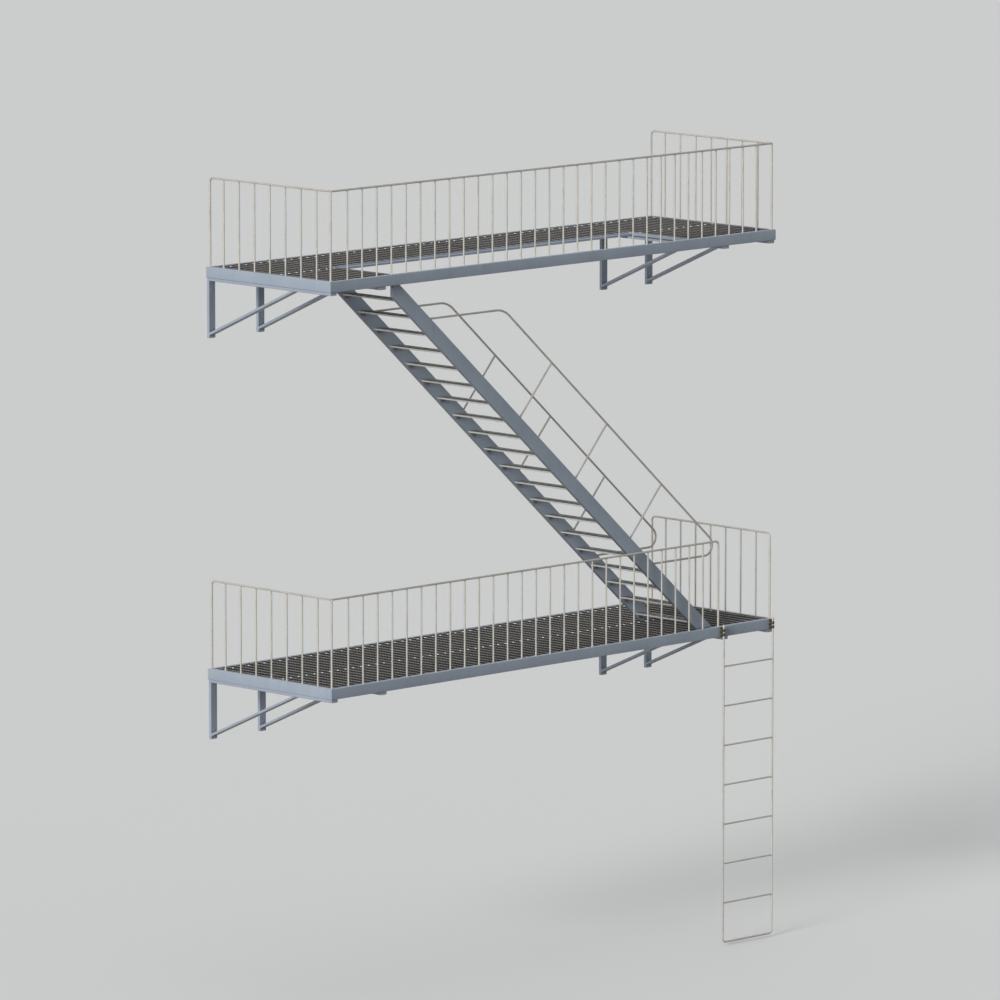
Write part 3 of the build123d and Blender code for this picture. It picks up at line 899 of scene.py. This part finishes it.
for level in decks:
    post_low, post_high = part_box(f"{level}_wall_posts")
    middle = (post_low[2] + post_high[2]) / 2
    columns = bracket_lefts(post_low, post_high) + bracket_width / 2
    rows = np.array([middle - anchor_half_spacing, middle + anchor_half_spacing])
    x, z = (grid.ravel() for grid in np.meshgrid(columns, rows))
    places = np.stack([x, np.full_like(x, post_low[1]), z], -1)
    shells = fastener_shells(places, (0, -1, 0), anchor_across, anchor_head)
    add_piece(f"{level}_wall_anchors", shells, frame_paint, sharp_angle=hexagon_angle)

# %% [markdown]
# ## Gratings
# The walking surface is bar grating: tall flat bars, held upright by thin round rods that are
# pressed into notches in their tops. The CAD panels have the flat bars. The rods show as fine
# pale lines across the deck, and each is a round bar between two points. Along two lines, near
# the wall and past the middle, studs with domed oval heads sit on the rods, and their bright
# zinc is a painted glint along those lines. A head is a turned dome, drawn out along its rod.

# %% Cross rods and studs
rod_radius = 0.0040
rod_sink = 0.6 * rod_radius
rod_pitch = 0.112
rod_sides = 10
panel_margin = 0.004
stud_lines = (-0.150, -1.020)
stud_sink = 0.004
stud_stretch = 2.6
stud_profile = [
    (0, 0.0075), (0.0045, 0.0075), (0.0065, 0.0062), (0.0078, 0.0036), (0.0080, 0.0008),
]


def cross_rods(starts, along, length):
    """Round rods of one length from each start, let into the tops of the flat bars."""
    starts = np.asarray(starts, float)
    ends = starts + length * np.asarray(along, float)
    return round_shell(straight_bars(starts, ends, rod_radius, rod_sides))


def panel_rods(name, x_low, x_high, y_low, y_high, deck):
    """Rods along Y over one panel, half a pitch in from its ends, and a stud where a rod crosses
    one of the two stud lines, its bright zinc a painted glint."""
    count = max(2, round((x_high - x_low) / rod_pitch))
    x = x_low + (np.arange(count) + 0.5) * (x_high - x_low) / count
    starts = np.stack([x, np.full_like(x, y_low), np.full_like(x, deck - rod_sink)], -1)
    rods = cross_rods(starts, (0, 1, 0), y_high - y_low)
    add_piece(f"{name}_cross_rods", [rods], rod_zinc)
    lines = [line for line in stud_lines if y_low < line < y_high]
    studs = np.array([(place, line, deck - stud_sink) for line in lines for place in x])
    heads = turned(studs, (0, 0, 1), stud_profile, 12)
    heads[..., 1] += (stud_stretch - 1) * (heads[..., 1] - studs[:, None, None, 1])
    add_piece(f"{name}_studs", [round_shell(heads)], stud_glint_zinc)


panels = {
    "lower": "lower_grating",
    "upper_left": "upper_grating_left",
    "upper_right": "upper_grating_right",
    "upper_rear": "upper_grating_rear",
}
for name, node in panels.items():
    low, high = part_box(node)
    panel_rods(name, low[0], high[0], low[1] + panel_margin, high[1] - panel_margin, high[2])

# %% [markdown]
# On the right side of the stairwell the edging stands back from the header and leaves a ledge.
# A thin rounded plate with the dark finish of the treads lies on it as painted shade, to darken
# the ledge's upward face. A second material on one CAD face would do it too, but the CAD header
# has one finish all over.

# %% Painted shade on the ledge beside the stairwell
trim_thick = 0.008
ledge_width = 0.075
back_ledge = 0.065
# Thickness of the dark sheet that lies on the ledge as painted shade.
shade_sheet_thick = 0.0015
ledge_rounding = 0.0005
trim_low, trim_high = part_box("stairwell_trim")
ledge_length = trim_high[1] - trim_thick - back_ledge - trim_low[1]
ledge_corners = box_corners(ledge_width, shade_sheet_thick)
ledge_outline, ledge_flat, ledge_edge = rounded_outline(ledge_corners, ledge_rounding)
ledge_start = (trim_high[0] - trim_thick - ledge_width, trim_low[1], trim_low[2])
ledge_grid = straight_sweep(ledge_outline, ledge_start, (1, 0, 0), (0, 0, 1), (0, 1, 0), 0, ledge_length)
add_piece("stairwell_ledge_shade", [(ledge_grid, ledge_flat, ledge_edge)], tread_steel)

# %% [markdown]
# ## Treads
# Each tread is a short grating between the stringers: a bar at its back that stands out bright
# from below, bars across, a solid nosing and a bolting plate at either end, painted over with
# the stringer. The CAD tread has them all in one piece and one finish, so the back bar, the
# nosing and the plates get thin rounded skins of their own. The back bar's pale zinc is a painted
# highlight for the light on its face, and the nosing's paler steel a painted highlight along the
# tread's front edge. All twenty treads are alike, so every detail is worked out once and shifted.

# %% Tread bars, nosings and plates
tread_origins = np.array([(low[0], low[1], high[2]) for low, high in tread_boxes])
tread_width = first_high[1] - first_low[1]
tread_depth = first_high[0] - first_low[0]
tread_thick = 0.015
back_bar_thick = 0.006
nosing_width = 0.032
plate_thick = 0.006
plate_height = 0.066
plate_inset = 0.004
skin = 0.0005
skin_rounding = 0.002


def tread_sweep(corners, begin, end):
    """An outline in the plane of the stringer, given from the tread's back top corner, carried
    across every tread from begin to end."""
    outline, flat, edge = rounded_outline(corners, skin_rounding)
    grids = [
        straight_sweep(outline, origin, (1, 0, 0), (0, 0, 1), (0, 1, 0), begin, end)
        for origin in tread_origins
    ]
    return np.concatenate(grids), flat, edge


def strip_corners(start, end):
    """Corners of a strip of the tread from start to end along X, one skin larger all round."""
    top, under = skin, -tread_thick - skin
    return [(start - skin, top), (end + skin, top), (end + skin, under), (start - skin, under)]


# The back bar's pale zinc is a painted highlight.
back_bar = tread_sweep(strip_corners(0, back_bar_thick), skin, tread_width - skin)
add_piece("tread_back_bars", [back_bar], lit_bar_zinc)
# The nosing's paler steel is a painted highlight along the tread's front edge.
nosing_corners = strip_corners(tread_depth - nosing_width, tread_depth)
nosing = tread_sweep(nosing_corners, skin, tread_width - skin)
add_piece("tread_nosings", [nosing], lit_nosing_steel)

plate_slant = (plate_height - tread_edge_rise) / math.tan(slope)
plate_front = tread_depth - plate_inset + skin
plate_corners = [
    (plate_inset - skin, -tread_thick + skin), (plate_inset + plate_slant - skin, -plate_height - skin),
    (plate_front, -plate_height - skin), (plate_front, -tread_thick + skin),
]
plates = [
    tread_sweep(plate_corners, skin / 2, plate_thick + skin),
    tread_sweep(plate_corners, tread_width - plate_thick - skin, tread_width - skin / 2),
]
add_piece("tread_end_plates", plates, frame_paint)

# %% [markdown]
# Cross rods run fore and aft between the back bar and the nosing, and two bolts hold each plate
# near the tread's back edge. Both use the functions of the gratings and the anchors again.

# %% Tread rods and bolts
bolt_drop = 0.044
bolt_places = (0.048, 0.086)
tread_bolt_across, tread_bolt_head = 0.019, 0.009
rods_per_tread = 7
rod_margin = 0.05
rod_y = np.linspace(rod_margin, tread_width - rod_margin, rods_per_tread)
rod_shifts = np.stack([np.full_like(rod_y, back_bar_thick), rod_y, np.full_like(rod_y, -rod_sink)], -1)
rod_starts = (tread_origins[:, None, :] + rod_shifts).reshape(-1, 3)
tread_rods = cross_rods(rod_starts, (1, 0, 0), tread_depth - nosing_width - back_bar_thick)
add_piece("tread_cross_rods", [tread_rods], rod_zinc)

bolt_shells = []
for y, facing in ((plate_thick + skin, 1), (tread_width - plate_thick - skin, -1)):
    shifts = np.array([(x, y, -bolt_drop) for x in bolt_places])
    heads = (tread_origins[:, None, :] + shifts[None]).reshape(-1, 3)
    bolt_shells += fastener_shells(heads, (0, facing, 0), tread_bolt_across, tread_bolt_head)
add_piece("tread_bolts", bolt_shells, bolt_zinc, sharp_angle=hexagon_angle)

# %% [markdown]
# ## Stair handrails
# Each handrail is a single bent bar: it leaves the stringer level, bends down beside the flight,
# and at the foot turns back to the stringer. Three short posts stand square to the slope. The
# points come from where level lines meet the stringer's upper edge and the line of the rail.

# %% Handrails and posts
handrail_radius = 0.011
handrail_post_radius = 0.010
handrail_offset = 0.712
handrail_start_drop = 0.517
handrail_return_height = 0.772
handrail_top = decks["upper"] - handrail_start_drop
handrail_foot = decks["lower"] + handrail_return_height
handrail_bends = [0.280, 0.108]
handrail_sink = 0.013
stringer_setback = 0.047
well_left = stringer_start - stringer_setback
well_length = 4.312
post_shares = 0.4413 + 0.1909 * np.arange(3)
post_sink = 0.002
seat_lap = 0.001


def edge_x(height):
    """Where the stringers' upper edge passes a height."""
    return stringer_edge_origin[0] + (stringer_edge_origin[2] - height) / math.tan(slope)


def handrail_pieces(side):
    """One bent bar and three straight posts, with a weld at each seat."""
    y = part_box(f"{side}_stringer")[0][1] + stringer_thick / 2
    rise = handrail_offset / math.cos(slope)
    line = [
        (edge_x(handrail_top) - handrail_sink, y, handrail_top),
        (edge_x(handrail_top - rise), y, handrail_top),
        (edge_x(handrail_foot - rise), y, handrail_foot),
        (edge_x(handrail_foot) - handrail_sink, y, handrail_foot),
    ]
    rail = bent_bar(line, handrail_bends, (0, 1, 0), handrail_radius, 18, 17)
    post_x = well_left + post_shares * well_length
    post_z = stringer_edge_origin[2] - (post_x - stringer_edge_origin[0]) * math.tan(slope)
    feet = np.stack([post_x, np.full_like(post_x, y), post_z], -1)
    heads = feet + slope_normal * handrail_offset
    seats = heads - slope_normal * (handrail_radius - seat_lap)
    shells = [
        rail,
        straight_bars(feet - slope_normal * post_sink, heads, handrail_post_radius, 16),
        weld_collars(feet, slope_normal, handrail_post_radius, weld_leg),
        weld_collars(seats, -slope_normal, handrail_post_radius, 0.8 * weld_leg),
    ]
    shells = [round_shell(grid) for grid in shells]
    replaced = [f"{side}_handrail", f"{side}_handrail_posts"]
    add_piece(f"{side}_handrail_bars", shells, handrail_shaded_zinc, replaced)


for side in ("front", "back"):
    handrail_pieces(side)

# %% [markdown]
# ## Ladder
# The ladder is one long bar bent into a U, with rungs welded between its sides and a domed cap on
# each end. CAD had to part the U into rails and foot; here it is one bar again, made as the
# handrails are.

# %% Ladder bars
ladder_radius = 0.010
rung_radius = 0.009
rail_low, rail_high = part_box("ladder_rails")
ladder_left, ladder_right = rail_low[0] + ladder_radius, rail_high[0] - ladder_radius
ladder_line = rail_low[1] + ladder_radius
ladder_top = rail_high[2]
ladder_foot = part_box("ladder_foot")[0][2] + ladder_radius
ladder_bend = 0.043
rung_pitch = 0.428
rung_count = 7
rung_weld = 0.004
u_line = [
    (ladder_left, ladder_line, ladder_top),
    (ladder_left, ladder_line, ladder_foot),
    (ladder_right, ladder_line, ladder_foot),
    (ladder_right, ladder_line, ladder_top),
]
u_bar = bent_bar(u_line, ladder_bend, (0, 1, 0), ladder_radius, 18, 9)
u_nodes = ["ladder_rails", "ladder_foot"]
add_piece("ladder_u_bar", [round_shell(u_bar)], guard_zinc, u_nodes)

rung_z = decks["lower"] - rung_pitch * np.arange(1, rung_count + 1)
rung_left = np.stack([np.full_like(rung_z, ladder_left), np.full_like(rung_z, ladder_line), rung_z], -1)
rung_right = rung_left + np.array([ladder_right - ladder_left, 0, 0])
inset = np.array([ladder_radius - seat_lap, 0, 0])
rung_shells = [
    straight_bars(rung_left, rung_right, rung_radius, 16),
    weld_collars(rung_left + inset, (1, 0, 0), rung_radius, rung_weld),
    weld_collars(rung_right - inset, (-1, 0, 0), rung_radius, rung_weld),
]
rung_shells = [round_shell(grid) for grid in rung_shells]
add_piece("ladder_rung_bars", rung_shells, guard_zinc, ["ladder_rungs"])

tops = np.array([(ladder_left, ladder_line, ladder_top), (ladder_right, ladder_line, ladder_top)])
cap_profile = [
    (0, 0.0145), (0.0015, 0.016), (0.012, 0.016),
    (0.0155, 0.0135), (0.0175, 0.008), (0.018, 0.002),
]
caps = turned(tops, (0, 0, 1), cap_profile, 24)
add_piece("ladder_end_caps", [round_shell(caps)], guard_zinc, ["ladder_caps"])

# %% [markdown]
# The ladder hangs in two cast clamps on the front beam. A clamp is a block whose outline has round
# corners, with two rings that close round the rail. A ring could be cut from a block by booleans,
# but a rounded rectangle turned round the rail gives it at once. Bolt heads show on both cheeks.

# %% Ladder clamps
clamp_half = 0.018
clamp_depth = 0.040
clamp_rounding = 0.004
clamp_low, clamp_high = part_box("ladder_clamps")
ring_drops = np.array([0.037, 0.081])
ring_radius = 0.0175
ring_half = 0.015
ring_rim = 0.003
ring_clearance = 0.0003
groove = ladder_radius + ring_clearance


def clamp_block(place):
    """A rounded block from the beam's face to the rail's middle, carried down its height."""
    outline, flat, edge = rounded_outline(box_corners(2 * clamp_half, clamp_depth), clamp_rounding)
    height = clamp_high[2] - clamp_low[2]
    origin = (place - clamp_half, ladder_line, clamp_low[2])
    grid = straight_sweep(outline, origin, (1, 0, 0), (0, 1, 0), (0, 0, 1), 0, height)
    return grid, flat, edge


def clamp_rings(places):
    """Rings round the rail: inner wall, rounded rim, outer wall and rim again, turned round Z."""
    corner = 0.3 * ring_rim
    profile = [
        (-ring_half, groove), (-ring_half, ring_radius - ring_rim),
        (-ring_half + corner, ring_radius - corner), (-ring_half + ring_rim, ring_radius),
        (ring_half - ring_rim, ring_radius), (ring_half - corner, ring_radius - corner),
        (ring_half, ring_radius - ring_rim), (ring_half, groove),
    ]
    return turned(places, (0, 0, 1), profile, 28)


ring_places = np.array(
    [(x, ladder_line, decks["lower"] - drop) for x in (ladder_left, ladder_right) for drop in ring_drops]
)
clamp_shells = [clamp_block(place) for place in (ladder_left, ladder_right)]
clamp_shells.append(round_shell(clamp_rings(ring_places)))
add_piece("ladder_clamp_castings", clamp_shells, old_brass, ["ladder_clamps"])

bolt_setback = 0.026
clamp_bolt_across, clamp_bolt_head = 0.013, 0.007
bolt_shells = []
for facing in (-1, 1):
    heads = ring_places + np.array([facing * clamp_half, bolt_setback, 0])
    bolt_shells += fastener_shells(heads, (facing, 0, 0), clamp_bolt_across, clamp_bolt_head)
add_piece("ladder_clamp_bolts", bolt_shells, bolt_zinc, sharp_angle=hexagon_angle)

# %% [markdown]
# ## CAD nodes that stay
# Joists, wall posts, grating panels, treads and the stairwell's edging are right as they are, so
# they keep their CAD meshes and only take a finish.

# %% Finishes for the CAD nodes
finish_of = {
    "frame_paint": frame_paint,
    "guard_bars": guard_zinc,
    "grating_steel": grating_steel,
    "tread_steel": tread_steel,
    "handrail_bars": handrail_shaded_zinc,
    "clamp_brass": old_brass,
}
slot_of = {part["node"]: part["material_slot"] for part in frame["record"]["subparts"]}
for name, node in nodes.items():
    node.data.materials.clear()
    node.data.materials.append(finish_of[slot_of[name]])
print("dressed CAD nodes:", len(nodes))

# %% [markdown]
# ## The dressed model's box
# The dressed model must fill the same box as the CAD model, so its box is printed here, to set
# beside the CAD box's sizes printed at the start.

# %% Print the dressed model's box
low, high = (list(corner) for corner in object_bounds())
print("visual box:", [round(v, 4) for v in low + high])
